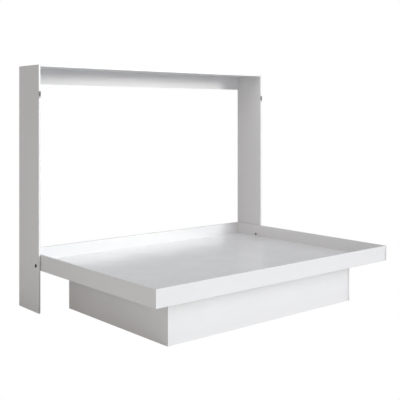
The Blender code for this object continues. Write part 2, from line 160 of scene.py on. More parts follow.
def white_for_camera(tree, lit, output):
    """Shows the camera plain white, and everything else the shader that is lit."""
    ray = tree.nodes.new("ShaderNodeLightPath")
    white = tree.nodes.new("ShaderNodeEmission" if output.type == "OUTPUT_MATERIAL"
                           else "ShaderNodeBackground")
    white.inputs["Color"].default_value = (1.0, 1.0, 1.0, 1.0)
    mix = tree.nodes.new("ShaderNodeMixShader")
    tree.links.new(ray.outputs["Is Camera Ray"], mix.inputs[0])
    tree.links.new(lit, mix.inputs[1])
    tree.links.new(white.outputs[0], mix.inputs[2])
    tree.links.new(mix.outputs[0], output.inputs["Surface"])


def lay_floor():
    """A pale paper floor and the white room round it."""
    paper = bpy.data.materials.new("studio_paper")
    paper.use_nodes = True
    tree = paper.node_tree
    shader = tree.nodes["Principled BSDF"]
    shader.inputs["Base Color"].default_value = (*[PAPER_TONE] * 3, 1.0)
    shader.inputs["Roughness"].default_value = PAPER_ROUGHNESS
    white_for_camera(tree, shader.outputs[0], tree.nodes["Material Output"])
    half = FLOOR_SIZE / 2
    sheet = bpy.data.meshes.new("studio_floor")
    sheet.from_pydata([(-half, -half, 0), (half, -half, 0), (half, half, 0), (-half, half, 0)],
                      [], [(0, 1, 2, 3)])
    sheet.materials.append(paper)
    floor = bpy.data.objects.new("studio_floor", sheet)
    bpy.context.scene.collection.objects.link(floor)

    world = bpy.data.worlds.new("white room")
    world.use_nodes = True
    bpy.context.scene.world = world
    room = world.node_tree.nodes["Background"]
    room.inputs["Color"].default_value = (*AMBIENT, 1.0)
    room.inputs["Strength"].default_value = AMBIENT_STRENGTH
    white_for_camera(world.node_tree, room.outputs[0], world.node_tree.nodes["World Output"])


lay_floor()
bpy.context.scene.view_settings.view_transform = "Standard"
print("a paper floor,", FLOOR_SIZE, "m wide, in a white room")

# %% [markdown]
# ## Surfaces from arrays
#
# Every new piece below is a grid of points: one parameter runs along the rows and one along the
# columns, and a formula turns the two into a place in space. Numpy works out all the points at
# once. The grid's neighbours are then joined by quads, and points that coincide are welded, which
# closes the seam where a ring meets itself and the pole where a ring shrinks to a point.

# %% Grid helpers
WELD = 2e-6                 # points nearer than this are one point
SMOOTH_BELOW = math.radians(28)


def grid_quads(rows, columns, ring=False):
    """Four neighbours for each cell of a grid whose points are numbered row by row. The last
    column always meets the first when columns go round; ring also joins the last row to the
    first."""
    row = np.arange(rows if ring else rows - 1)[:, None]
    column = np.arange(columns)[None, :]
    below = (row + 1) % rows
    beside = (column + 1) % columns
    cells = (row * columns + column, row * columns + beside,
             below * columns + beside, below * columns + column)
    return np.stack(cells, axis=-1).reshape(-1, 4)


def make_mesh(points, quads, uv_maps=None, wear=None):
    """Fills a mesh from whole arrays and welds it. uv_maps holds two numbers for each corner of
    each quad, and wear one number for each point."""
    mesh = bpy.data.meshes.new("surface")
    mesh.vertices.add(len(points))
    mesh.vertices.foreach_set("co", np.ascontiguousarray(points, np.float32).ravel())
    mesh.loops.add(quads.size)
    mesh.loops.foreach_set("vertex_index", quads.astype(np.int32).ravel())
    mesh.polygons.add(len(quads))
    mesh.polygons.foreach_set("loop_start", np.arange(0, quads.size, 4, dtype=np.int32))
    mesh.update(calc_edges=True)
    for title, values in (uv_maps or {}).items():
        layer = mesh.uv_layers.new(name=title)
        layer.data.foreach_set("uv", np.ascontiguousarray(values, np.float32).ravel())
    if wear is not None:
        layer = mesh.attributes.new("wear", "FLOAT", "POINT")
        layer.data.foreach_set("value", np.ascontiguousarray(wear, np.float32).ravel())
    shape = bmesh.new()
    shape.from_mesh(mesh)
    bmesh.ops.remove_doubles(shape, verts=shape.verts, dist=WELD)
    bmesh.ops.recalc_face_normals(shape, faces=shape.faces)
    shape.to_mesh(mesh)
    shape.free()
    return mesh


def place(node, mesh, material):
    """Makes a node's finished piece, which rides with the node's body and stands for the node."""
    mesh.shade_smooth()
    mesh.set_sharp_from_angle(angle=SMOOTH_BELOW)
    if not mesh.materials:
        mesh.materials.append(material)
    piece = bpy.data.objects.new(f"finished_{node}", mesh)
    mesh.name = piece.name
    bpy.context.scene.collection.objects.link(piece)
    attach(piece, body_of_node[node])
    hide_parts(node)
    return piece


print("grid helpers ready")

# %% [markdown]
# ## Boards
#
# A faced board isn't a sharp box: its edge band is scraped to a small round after gluing, and that
# round is what catches the light. A Bevel modifier on a cube would do, but then nothing would know
# how far a point is from the board's edge, which the finish needs. So the rounding is a formula.
# Each grid point starts on a sharp box. The nearest point of an inner box, one radius smaller all
# round, is found by clamping, and the rounded point lies one radius from it, towards the start.

# %% Rounded box
EDGE_ROUND = 0.001          # scraped round along a board's edges
HOLD = 0.0004               # a ring of points just past the round, which keeps the face flat
AROUND_EDGE = 3             # cells from a face's rim to the end of its half of the round


def board_lines(low, high, radius):
    """Where the grid's lines lie along one axis: close together over the round, in steps of equal
    turn, then a holding line, and mirrored at the other end."""
    turn = np.linspace(math.pi / 4, 0, AROUND_EDGE + 1)
    near = np.append(radius * (1 - np.tan(turn)), radius + HOLD)
    return np.concatenate((low + near, high - near[::-1]))


def open_quads(rows, columns):
    """Quads of a grid whose columns don't go round."""
    return grid_quads(rows, columns).reshape(rows - 1, columns, 4)[:, :-1].reshape(-1, 4)


def board_arrays(low, high, radius=EDGE_ROUND):
    """The points, quads and two maps of a rounded board, from its corners. from_start holds how
    far each quad corner lies from the face's low edges and from_end how far from the high ones,
    in metres, with the face's long side first."""
    lines = [board_lines(low[axis], high[axis], radius) for axis in range(3)]
    points, quads, starts, ends = [], [], [], []
    count = 0
    for axis in range(3):
        across = sorted((other for other in range(3) if other != axis),
                        key=lambda other: low[other] - high[other])
        for level in (low[axis], high[axis]):
            u, v = np.meshgrid(lines[across[0]], lines[across[1]], indexing="ij")
            sharp = np.zeros((u.size, 3))
            sharp[:, axis] = level
            sharp[:, across[0]] = u.ravel()
            sharp[:, across[1]] = v.ravel()
            inner = np.clip(sharp, low + radius, high - radius)
            outward = sharp - inner
            outward /= np.linalg.norm(outward, axis=1, keepdims=True)
            points.append(inner + radius * outward)
            cells = open_quads(*u.shape)
            quads.append(cells + count)
            starts.append((sharp - low)[:, across][cells])
            ends.append((high - sharp)[:, across][cells])
            count += u.size
    maps = {"from_start": np.concatenate(starts), "from_end": np.concatenate(ends)}
    return np.concatenate(points), np.concatenate(quads), maps


sample = board_arrays(np.zeros(3), np.array((0.3, 0.2, 0.013)))
print(f"a board has {len(sample[0])} points and {len(sample[1])} quads before welding")

# %% [markdown]
# ## Holes
#
# Boards come off the machine with their holes drilled, so the script has a drill: a closed cylinder,
# made as rings of points round an axis. The same function later makes every turned piece.

# %% Turned surfaces
DRILL_SIDES = 48


def around(centre, axis, radii, heights):
    """Points round an axis: the centre, plus the height along the axis, plus the radius times a
    direction that turns with the column. radii and heights are (rows, columns) or (rows, 1)."""
    axis = np.asarray(axis, float)
    side = np.roll(axis, 1)
    up = np.cross(axis, side)
    columns = max(np.shape(radii)[1], np.shape(heights)[1])
    turn = np.linspace(0, math.tau, columns, endpoint=False)[None, :, None]
    direction = np.cos(turn) * side + np.sin(turn) * up
    radii, heights = np.broadcast_arrays(radii, heights)
    points = np.asarray(centre) + heights[..., None] * axis + radii[..., None] * direction
    return points.reshape(-1, 3)


def drill_arrays(start, end, radius):
    """A closed cylinder between two points that differ along one axis."""
    reach = np.asarray(end, float) - start
    length = np.linalg.norm(reach)
    radii = np.array((0, radius, radius, 0))[:, None] * np.ones(DRILL_SIDES)
    heights = np.array((0, 0, length, length))[:, None]
    return around(start, reach / length, radii, heights), grid_quads(4, DRILL_SIDES)


print("a drill has", len(drill_arrays((0, 0, 0), (0, 0, 0.02), 0.004)[1]), "quads")

# %% [markdown]
# A Boolean takes the drill's cylinder out of the board. A real hole shows the board's raw core, so
# the cutter carries the core's material and the cut faces keep it. The Boolean is applied at once,
# and the piece stays a plain mesh.

# %% Cutting and drilling
FIT = 0.0003                # gap between faces that touch
FAR_FROM_EDGE = 1.0         # what the two maps say on a cut face: no board edge anywhere near


def cut_with(piece_mesh, points, quads, operation, material):
    """Takes a shape out of a mesh, or adds it, and returns the new mesh."""
    far = np.full((len(quads), 4, 2), FAR_FROM_EDGE)
    tool_mesh = make_mesh(points, quads, {"from_start": far, "from_end": far})
    tool_mesh.materials.append(material)
    tool = bpy.data.objects.new("tool", tool_mesh)
    work = bpy.data.objects.new("work", piece_mesh)
    for obj in (tool, work):
        bpy.context.scene.collection.objects.link(obj)
    boolean = work.modifiers.new("cut", "BOOLEAN")
    boolean.operation = operation
    boolean.solver = "EXACT"
    boolean.material_mode = "TRANSFER"
    boolean.object = tool
    bpy.context.view_layer.update()
    evaluated = work.evaluated_get(bpy.context.evaluated_depsgraph_get())
    result = bpy.data.meshes.new_from_object(evaluated)
    for obj in (tool, work):
        bpy.data.objects.remove(obj)
    return result


def join_arrays(shapes):
    """Several separate shapes as one set of points and quads."""
    points, quads = zip(*shapes)
    offsets = np.cumsum([0] + [len(part) for part in points[:-1]])
    return np.concatenate(points), np.concatenate([q + o for q, o in zip(quads, offsets)])


def drill(mesh, holes, core):
    """Drills round holes, each given by its two ends and its radius."""
    return cut_with(mesh, *join_arrays([drill_arrays(*hole) for hole in holes]), "DIFFERENCE", core)


print("drilling is ready; a hole is cut with", DRILL_SIDES, "sides")

# %% [markdown]
# ## Shader groups
#
# A finish is built from effects that several materials share: how far a point is from a board's
# edge, the faint relief of a pressed facing, the wear that handling leaves on corners, the marks
# in metal, the grain of wood. Each effect is a node group, made once and placed in each material
# with its own values. A group hands out only patterns that change over the surface; the shader
# itself, and every number that is the same all over, stays in the material.

# %% Node helpers
NUMBER, VECTOR, COLOUR = "NodeSocketFloat", "NodeSocketVector", "NodeSocketColor"


def fill(socket, value):
    """Links a socket, or sets its value. A colour is given as three numbers."""
    if isinstance(value, bpy.types.NodeSocket):
        value.id_data.links.new(value, socket)
    else:
        socket.default_value = (*value, 1.0) if socket.type == "RGBA" else value


def add(kind, inputs, **settings):
    """Adds a node to the tree of the sockets that it is linked to. inputs maps socket names or
    numbers to sockets to link or values to set."""
    sockets = [value for value in inputs.values() if isinstance(value, bpy.types.NodeSocket)]
    node = sockets[0].id_data.nodes.new(kind)
    for name, value in settings.items():
        setattr(node, name, value)
    for name, value in inputs.items():
        fill(node.inputs[name], value)
    return node


def source(tree, kind, output, **settings):
    """Adds a node that only gives something out, and returns that socket."""
    node = tree.nodes.new(kind)
    for name, value in settings.items():
        setattr(node, name, value)
    return node.outputs[output]


def maths(operation, *values, clamp=False):
    """One step of arithmetic on sockets or numbers."""
    node = add("ShaderNodeMath", dict(enumerate(values)), operation=operation, use_clamp=clamp)
    return node.outputs["Value"]


def ramp(value, start, stop, low=0.0, high=1.0):
    """Runs smoothly from low to high while value goes from start to stop."""
    node = add("ShaderNodeMapRange",
               {"Value": value, "From Min": start, "From Max": stop, "To Min": low, "To Max": high},
               interpolation_type="SMOOTHSTEP")
    return node.outputs["Result"]


def weighted(first, second, share):
    """A share of the first pattern plus the rest of the second."""
    return maths("ADD", maths("MULTIPLY", first, share), maths("MULTIPLY", second, 1 - share))


def spread(pattern, low, high):
    """Stretches the range that a noise mostly keeps to so that it runs from low to high."""
    return ramp(pattern, 0.3, 0.7, low, high)


def noise(vector, scale, detail=2.0, roughness=0.5):
    """Soft random variation about one half. The scale is in features to the metre."""
    node = add("ShaderNodeTexNoise",
               {"Vector": vector, "Scale": scale, "Detail": detail, "Roughness": roughness})
    return node.outputs["Fac"]


def blend_colours(factor, first, second):
    """Mixes two colours by a factor."""
    mix = add("ShaderNodeMix", {0: factor, 6: first, 7: second}, data_type="RGBA")
    return mix.outputs[2]


print("node helpers ready")

# %% [markdown]
# A group's sockets are its interface: they're declared on the group, and then show up on a node
# inside that hands the inputs in, on one that takes the results, and on every copy that is placed
# in a material.

# %% Group helpers
def new_group(name, inputs, outputs):
    """An empty group with its sockets. Returns its inputs by name and its output node."""
    tree = bpy.data.node_groups.new(name, "ShaderNodeTree")
    for end, sockets in (("INPUT", inputs), ("OUTPUT", outputs)):
        for title, kind in sockets.items():
            tree.interface.new_socket(title, in_out=end, socket_type=kind)
    return tree.nodes.new("NodeGroupInput").outputs, tree.nodes.new("NodeGroupOutput")


def send(exit_node, **results):
    """Links results to a group's outputs and returns the group; underscores in a name stand for
    spaces."""
    for name, socket in results.items():
        fill(exit_node.inputs[name.replace("_", " ")], socket)
    return exit_node.id_data


def use(group, **inputs):
    """Places a group in a material's tree; underscores in a name stand for spaces."""
    values = {name.replace("_", " "): value for name, value in inputs.items()}
    return add("ShaderNodeGroup", values, node_tree=group)


print("group helpers ready")

# %% [markdown]
# ### Distance to a board's edge
#
# The two maps made with each board say how far a point is from the four sides of its face. The
# smallest of the four is the distance to the nearest edge, exact to the last fraction, however
# few quads the face has. The two maps added together give the face's own size, which tells a
# broad face from the narrow band round it.

# %% Edge distance group
BAND_FACE_LIMIT = 0.03      # a face narrower than this is an edge band


def edge_distance_group():
    """Smallest of the four distances, and 1 on broad faces."""
    given, out = new_group("edge distance", {"From start": VECTOR, "From end": VECTOR},
                           {"Distance": NUMBER, "Broad face": NUMBER})
    near = add("ShaderNodeSeparateXYZ", {"Vector": given["From start"]}).outputs
    far = add("ShaderNodeSeparateXYZ", {"Vector": given["From end"]}).outputs
    along = maths("MINIMUM", near["X"], far["X"])
    across = maths("MINIMUM", near["Y"], far["Y"])
    width = maths("ADD", near["Y"], far["Y"])
    return send(out, Distance=maths("MINIMUM", along, across),
                Broad_face=maths("GREATER_THAN", width, BAND_FACE_LIMIT))


edge_distance = edge_distance_group()
print("made group:", edge_distance.name)

# %% [markdown]
# ### The facing
#
# White melamine facing is paper pressed on chipboard under a textured plate. Up close it has a
# fine, even pebble that keeps its gloss soft. From further off the board isn't perfectly even:
# the chips below print through as a faint unevenness, and the white wanders by about a percent.

# %% Facing group
CHIP_SCALE = 75.0           # chips of the core, which print through
CLOUD_SCALE = 2.3           # the slow wander over a whole board
CLOUD_SHARE = 0.7           # the cloud's share of the tone; the chips make the rest
PEBBLE_SHARE = 0.35         # the pebble's share of the relief; the chips make the rest
PATCHY = 0.006              # how far the cloud moves the roughness
GRIT = 0.02                 # how far the pebble moves it


def facing_group():
    """Pressed pebble, print-through of the core and a slow wander in tone."""
    given, out = new_group(
        "pressed facing",
        {"Vector": VECTOR, "White": COLOUR, "Shade": COLOUR, "Pebble size": NUMBER,
         "Gloss": NUMBER},
        {"Colour": COLOUR, "Roughness": NUMBER, "Height": NUMBER})
    fineness = maths("DIVIDE", 1.0, given["Pebble size"])
    pebble = noise(given["Vector"], fineness, detail=1.0)
    chips = noise(given["Vector"], CHIP_SCALE, detail=3.0, roughness=0.6)
    cloud = noise(given["Vector"], CLOUD_SCALE)
    tone = ramp(weighted(cloud, chips, CLOUD_SHARE), 0.35, 0.65)
    uneven = maths("ADD", spread(cloud, -PATCHY, PATCHY), spread(pebble, -GRIT, GRIT))
    return send(out, Colour=blend_colours(tone, given["Shade"], given["White"]),
                Roughness=maths("ADD", given["Gloss"], uneven),
                Height=weighted(pebble, chips, PEBBLE_SHARE))


facing = facing_group()
print("made group:", facing.name)

# %% [markdown]
# ### Joints and wear
#
# The edge band is a strip glued round the board, and the glue line shows as a hair-thin darker
# line just inside the edge of the broad faces. Wear is different: it sits on the outermost edge
# itself, is patchy, and grows where hands and tools touch. Both read a distance or a nearness
# that the piece carries, so they follow the real edges from every side.

# %% Joint and wear groups
def band_joint_group():
    """A thin line on broad faces at the band's thickness from the edge."""
    given, out = new_group(
        "band joint", {"Distance": NUMBER, "Broad face": NUMBER, "Band": NUMBER, "Line": NUMBER},
        {"Joint": NUMBER, "Band face": NUMBER})
    off = maths("ABSOLUTE", maths("SUBTRACT", given["Distance"], given["Band"]))
    inside = maths("SUBTRACT", 1.0, maths("DIVIDE", off, given["Line"]), clamp=True)
    narrow = maths("SUBTRACT", 1.0, given["Broad face"])
    outside = maths("LESS_THAN", given["Distance"], given["Band"])
    return send(out, Joint=maths("MULTIPLY", inside, given["Broad face"]),
                Band_face=maths("MAXIMUM", narrow, outside))


def edge_wear_group():
    """Patches where Nearness is high: 1 on an edge, 0 away from it."""
    given, out = new_group(
        "edge wear", {"Vector": VECTOR, "Nearness": NUMBER, "Patch size": NUMBER,
                      "Amount": NUMBER}, {"Mask": NUMBER})
    coarse = noise(given["Vector"], maths("DIVIDE", 1.0, given["Patch size"]),
                   detail=4.0, roughness=0.65)
    reach = maths("MULTIPLY", given["Nearness"], ramp(coarse, 0.42, 0.72))
    return send(out, Mask=maths("MULTIPLY", reach, given["Amount"], clamp=True))


band_joint = band_joint_group()
edge_wear = edge_wear_group()
print("made groups:", band_joint.name, "and", edge_wear.name)

# %% [markdown]
# ### Wood
#
# Dowels and battens are bare beech and pine. The rings of a tree are nested cylinders, so the
# distance from the grain's axis over the rings' spacing counts them, and its fraction says how far
# a point is through one year. A noise bends them, and another that is squeezed across the grain
# makes the fibres. A Wave texture set to rings would be shorter, but this way the rings' spacing
# is a plain length in metres.

# %% Wood group
SQUEEZE = (1.0, 9.0, 9.0)   # fibres run along the grain
FIBRE_SCALE = 260.0
BEND_SCALE = 9.0
BEND = 3.5                  # rings are bent by up to this many spacings
LATE_SHARE = 0.55           # late wood's share of the tone; the fibres make the rest
FIBRE_RELIEF = 0.7          # the fibres' share of the relief


def wood_grain_group():
    """Rings as bent bands, and fibres as noise squeezed across the grain."""
    given, out = new_group(
        "wood grain", {"Vector": VECTOR, "Light": COLOUR, "Dark": COLOUR, "Ring spacing": NUMBER},
        {"Colour": COLOUR, "Height": NUMBER})
    bend = noise(given["Vector"], BEND_SCALE, detail=3.0)
    squeezed = add("ShaderNodeMapping", {"Vector": given["Vector"], "Scale": SQUEEZE})
    fibres = noise(squeezed.outputs["Vector"], FIBRE_SCALE, detail=3.0, roughness=0.7)
    depth = add("ShaderNodeSeparateXYZ", {"Vector": given["Vector"]}).outputs
    radius = maths("SQRT", maths("ADD", maths("POWER", depth["Y"], 2.0),
                                 maths("POWER", depth["Z"], 2.0)))
    rings = maths("FRACT", maths("ADD", maths("DIVIDE", radius, given["Ring spacing"]),
                                 maths("MULTIPLY", bend, BEND)))
    late = ramp(rings, 0.35, 0.95)
    return send(out, Height=weighted(fibres, late, FIBRE_RELIEF),
                Colour=blend_colours(weighted(late, fibres, LATE_SHARE), given["Light"],
                                     given["Dark"]))


wood_grain = wood_grain_group()
print("made group:", wood_grain.name)

# %% [markdown]
# ### Metal and moulded plastic
#
# Zinc and blackened steel have drawn marks from the tool, seen as streaks in the gloss more than in
# the colour. Moulded parts have an even, very fine texture, as if the mould had been sandblasted.

# %% Metal and moulding groups
STRETCH = (1.0, 1.0, 14.0)  # streaks are this much finer along Z
PLATING_SCALE = 260.0
MOULD_CELLS = 3500.0
MOULD_CLOUD = 120.0
SKIN_OUTPUTS = {"Colour": COLOUR, "Roughness": NUMBER, "Height": NUMBER}


def metal_marks_group():
    """Streaks along one direction over a cloudy plating."""
    given, out = new_group(
        "metal marks", {"Vector": VECTOR, "Light": COLOUR, "Dark": COLOUR, "Gloss": NUMBER,
                        "Mark size": NUMBER}, SKIN_OUTPUTS)
    stretched = add("ShaderNodeMapping", {"Vector": given["Vector"], "Scale": STRETCH})
    streaks = noise(stretched.outputs["Vector"], maths("DIVIDE", 1.0, given["Mark size"]),
                    detail=3.0, roughness=0.6)
    cloud = noise(given["Vector"], PLATING_SCALE)
    tone = spread(weighted(streaks, cloud, 0.5), 0.0, 1.0)
    return send(out, Colour=blend_colours(tone, given["Dark"], given["Light"]),
                Roughness=maths("ADD", given["Gloss"], spread(streaks, -0.07, 0.09)),
                Height=streaks)


def moulding_group():
    """Fine cell texture with a slow tone wander, for plastic."""
    given, out = new_group(
        "moulded texture", {"Vector": VECTOR, "Light": COLOUR, "Dark": COLOUR, "Gloss": NUMBER},
        SKIN_OUTPUTS)
    cells = add("ShaderNodeTexVoronoi", {"Vector": given["Vector"], "Scale": MOULD_CELLS})
    cloud = noise(given["Vector"], MOULD_CLOUD)
    return send(out, Height=cells.outputs["Distance"],
                Colour=blend_colours(spread(cloud, 0.0, 1.0), given["Dark"], given["Light"]),
                Roughness=maths("ADD", given["Gloss"], spread(cloud, -0.04, 0.05)))


metal_marks = metal_marks_group()
moulded_texture = moulding_group()
print("made groups:", metal_marks.name, "and", moulded_texture.name)

# %% [markdown]
# ### Materials
#
# Each finish is a Principled shader with its constants set on the shader, and its colour,
# roughness and bump fed by the groups above. The boards read the two maps that they carry, and
# everything else reads object coordinates, which stay with a piece as it swings.

# %% Material helpers
def new_material(name, slot, turn=(0.0, 0.0, 0.0), **settings):
    """A material, its Principled shader with the constants set, and object coordinates, turned if
    the grain runs another way. Underscores stand for spaces."""
    material = bpy.data.materials.new(name)
    material.use_nodes = True
    tree = material.node_tree
    shader = tree.nodes["Principled BSDF"]
    for title, value in settings.items():
        shader.inputs[title.replace("_", " ")].default_value = value
    here = source(tree, "ShaderNodeTexCoord", "Object")
    where = add("ShaderNodeMapping", {"Vector": here, "Rotation": turn}).outputs["Vector"]
    return material, shader, where


def feed(shader, colour, roughness, height, depth, strength=1.0):
    """Links a finish's patterns to its shader. A height of 1 stands out by the depth."""
    bump = add("ShaderNodeBump", {"Height": height, "Distance": depth, "Strength": strength})
    for title, socket in (("Base Color", colour), ("Roughness", roughness),
                          ("Normal", bump.outputs["Normal"])):
        fill(shader.inputs[title], socket)


print("material helpers ready")

# %% [markdown]
# The boards' white has four layers of colour: the facing, the slightly whiter band, the glue line
# between them, and the worn edge over all three. A thin coat gives the broad faces their sheen.

# %% White facing
BAND = 0.0008               # thickness of the edge band
GLUE_LINE = 0.00022
WEAR_REACH = 0.0022         # how far handling wear reaches in from a board's edge
FACING_WHITE, FACING_SHADE = (0.80, 0.80, 0.80), (0.793, 0.793, 0.795)
BAND_WHITE = (0.815, 0.815, 0.82)
GLUE_COLOUR = (0.36, 0.34, 0.31)
WORN_COLOUR = (0.60, 0.585, 0.56)
BAND_TINT, GLUE_TINT, WORN_TINT = 0.6, 0.45, 0.35       # how strongly each layer shows
FACING_GLOSS = 0.265
FACING_COAT = 0.12


def white_facing():
    """White melamine facing with its edge band, glue line and a little handling wear."""
    material, shader, where = new_material("white_facing", "white_board", IOR=1.5,
                                           Coat_Roughness=0.22)
    start, end = (source(where.id_data, "ShaderNodeUVMap", "UV", uv_map=title)
                  for title in ("from_start", "from_end"))
    edge = use(edge_distance, From_start=start, From_end=end).outputs
    face = use(facing, Vector=where, White=FACING_WHITE, Shade=FACING_SHADE,
               Pebble_size=0.0011, Gloss=FACING_GLOSS).outputs
    joint = use(band_joint, Distance=edge["Distance"], Broad_face=edge["Broad face"],
                Band=BAND, Line=GLUE_LINE).outputs
    nearness = ramp(edge["Distance"], 0.0, WEAR_REACH, 1.0, 0.0)
    wear = use(edge_wear, Vector=where, Nearness=nearness, Patch_size=0.03,
               Amount=0.5).outputs["Mask"]
    colour = face["Colour"]
    for mask, tint, layer in ((joint["Band face"], BAND_TINT, BAND_WHITE),
                              (joint["Joint"], GLUE_TINT, GLUE_COLOUR),
                              (wear, WORN_TINT, WORN_COLOUR)):
        colour = blend_colours(maths("MULTIPLY", mask, tint), colour, layer)
    rough = maths("ADD", face["Roughness"],
                  maths("SUBTRACT", maths("MULTIPLY", wear, 0.2),
                        maths("MULTIPLY", joint["Band face"], 0.06)))
    sunk = maths("SUBTRACT", face["Height"], maths("MULTIPLY", joint["Joint"], 0.8))
    feed(shader, colour, rough, sunk, 0.00005, 0.5)
    fill(shader.inputs["Coat Weight"],
         maths("MULTIPLY", edge["Broad face"], FACING_COAT))
    return material


white_board = white_facing()
print("made finish:", white_board.name)

# %% [markdown]
# Where a board is drilled or grooved, its core of pressed chips shows. Each chip is a Voronoi cell,
# and a finer noise shades it. The same pine serves the battens along both directions: only the
# turn of its coordinates differs.

# %% Core and bare wood
CHIPS_PER_METRE = 620.0
DUST_SCALE = 900.0
CHIP_DARK, CHIP_LIGHT = (0.34, 0.23, 0.13), (0.66, 0.50, 0.32)
BEECH = ((0.66, 0.47, 0.30), (0.50, 0.32, 0.18), 0.0016)        # light, dark, ring spacing
PINE = ((0.74, 0.56, 0.35), (0.55, 0.35, 0.17), 0.004)


def raw_chipboard():
    """The core of a board, which shows where it is drilled or grooved."""
    material, shader, where = new_material("raw_chipboard", "white_board", IOR=1.45)
    chips = add("ShaderNodeTexVoronoi",
                {"Vector": where, "Scale": CHIPS_PER_METRE}).outputs["Distance"]
    shade = noise(where, DUST_SCALE, detail=3.0)
    tone = ramp(weighted(shade, chips, 0.6), 0.2, 0.7)
    feed(shader, blend_colours(tone, CHIP_DARK, CHIP_LIGHT),
         spread(shade, 0.78, 0.92), chips, 0.0002)
    return material


def bare_wood(name, light, dark, ring_spacing, turn=(0.0, 0.0, 0.0)):
    """Planed or turned bare wood, with its grain along X after the turn."""
    material, shader, where = new_material(name, "bare_wood", turn, IOR=1.45)
    grain = use(wood_grain, Vector=where, Light=light, Dark=dark,
                Ring_spacing=ring_spacing).outputs
    feed(shader, grain["Colour"], ramp(grain["Height"], 0.2, 0.8, 0.52, 0.70),
         grain["Height"], 0.0001, 0.6)
    return material


core = raw_chipboard()
beech = bare_wood("beech_dowel", *BEECH)
pine_along_x = bare_wood("pine_along_x", *PINE)
pine_along_y = bare_wood("pine_along_y", *PINE, turn=(0.0, 0.0, math.pi / 2))
print("made finishes:", core.name, beech.name, pine_along_x.name, pine_along_y.name)

# %% [markdown]
# Hardware is rubbed bright on its corners. Each piece of it carries a number called wear that is
# high on its edges, and the wear group breaks it up into patches. Steel gets lighter and smoother
# there, plastic only smoother.

# %% Metal and plastic
def rubbed(where, patch_size, amount):
    """Patches of wear on the edges that a piece marks with its wear attribute."""
    nearness = source(where.id_data, "ShaderNodeAttribute", "Fac", attribute_name="wear")
    return use(edge_wear, Vector=where, Nearness=nearness, Patch_size=patch_size,
               Amount=amount).outputs["Mask"]


def metal(name, slot, light, dark, gloss, mark_size, edge_colour, edge_amount):
    """Plated or blackened steel, lighter and smoother where its edges are rubbed."""
    material, shader, where = new_material(name, slot, Metallic=1.0)
    marks = use(metal_marks, Vector=where, Light=light, Dark=dark, Gloss=gloss,
                Mark_size=mark_size).outputs
    wear = rubbed(where, 0.0025, edge_amount)
    smoother = maths("SUBTRACT", marks["Roughness"], maths("MULTIPLY", wear, 0.1))
    feed(shader, blend_colours(wear, marks["Colour"], edge_colour), smoother,
         marks["Height"], 0.00002, 0.6)
    return material


def plastic(name, slot, light, dark, gloss):
    """A moulded part, a little polished on its rims."""
    material, shader, where = new_material(name, slot, IOR=1.49)
    skin = use(moulded_texture, Vector=where, Light=light, Dark=dark, Gloss=gloss).outputs
    polish = maths("MULTIPLY", rubbed(where, 0.004, 0.6), 0.12)
    feed(shader, skin["Colour"], maths("SUBTRACT", skin["Roughness"], polish),
         skin["Height"], 0.00003, 0.4)
    return material


zinc = metal("zinc_plate", "zinc_steel", (0.52, 0.53, 0.55), (0.36, 0.37, 0.39), 0.34, 0.0009,
             (0.68, 0.69, 0.70), 0.7)
black_steel = metal("black_steel", "dark_steel", (0.075, 0.075, 0.08), (0.04, 0.04, 0.043), 0.38,
                    0.0012, (0.24, 0.24, 0.25), 0.6)
dark_casting = metal("dark_casting", "dark_steel", (0.17, 0.17, 0.175), (0.10, 0.10, 0.105), 0.42,
                     0.0010, (0.36, 0.36, 0.37), 0.6)
cap_plastic = plastic("white_cap_plastic", "white_plastic", (0.80, 0.80, 0.80),
                      (0.76, 0.76, 0.765), 0.42)
nylon = plastic("grey_nylon", "grey_nylon", (0.50, 0.50, 0.49), (0.42, 0.42, 0.415), 0.5)
print(len(bpy.data.materials), "materials and", len(bpy.data.node_groups), "groups")

# %% [markdown]
# ## Turned hardware
#
# Bolts, washers, bushes and caps are lathe work, so each is a profile of (radius, height) corners
# carried round an axis. Real turned parts have broken edges: every corner of the profile is
# swapped for a short parabola that starts and ends a small distance away from the corner. The
# curve's points are marked as wear, so the finish knows where the edges are.

# %% Eased profiles
LATHE_COLUMNS = 64
EASE_STEPS = 4
HOLD_SHARE = 0.5            # the holding points' distance past the curve, as a share of its radius


def eased(corners, easing):
    """Swaps each corner for a quadratic curve: the weights (1-t)^2, 2t(1-t) and t^2 of a point
    before it, the corner itself and a point after it. Returns the profile and its wear."""
    corners = np.asarray(corners, float)
    easing = np.broadcast_to(easing, len(corners))[:, None]

    def towards(other):
        step = other - corners
        return step / np.linalg.norm(step, axis=1, keepdims=True)

    back, ahead = towards(np.roll(corners, 1, axis=0)), towards(np.roll(corners, -1, axis=0))
    before, after = corners + easing * back, corners + easing * ahead
    t = np.linspace(0, 1, EASE_STEPS + 1)[None, :, None]
    curve = ((1 - t) ** 2 * before[:, None] + 2 * t * (1 - t) * corners[:, None]
             + t ** 2 * after[:, None])
    first = (before + HOLD_SHARE * easing * back)[:, None]
    last = (after + HOLD_SHARE * easing * ahead)[:, None]
    profile = np.concatenate((first, curve, last), axis=1).reshape(-1, 2)
    wear = np.pad(np.ones(EASE_STEPS + 1), 1)
    return profile, np.tile(wear, len(corners))


def seat(node, axis):
    """Where a node begins along an axis, its length that way and its radius across it."""
    low, high = corners_of(node)
    axis, size = np.asarray(axis), high - low
    start = np.where(axis > 0, low, np.where(axis < 0, high, (low + high) / 2))
    return start, size[axis != 0][0], size[axis == 0].max() / 2


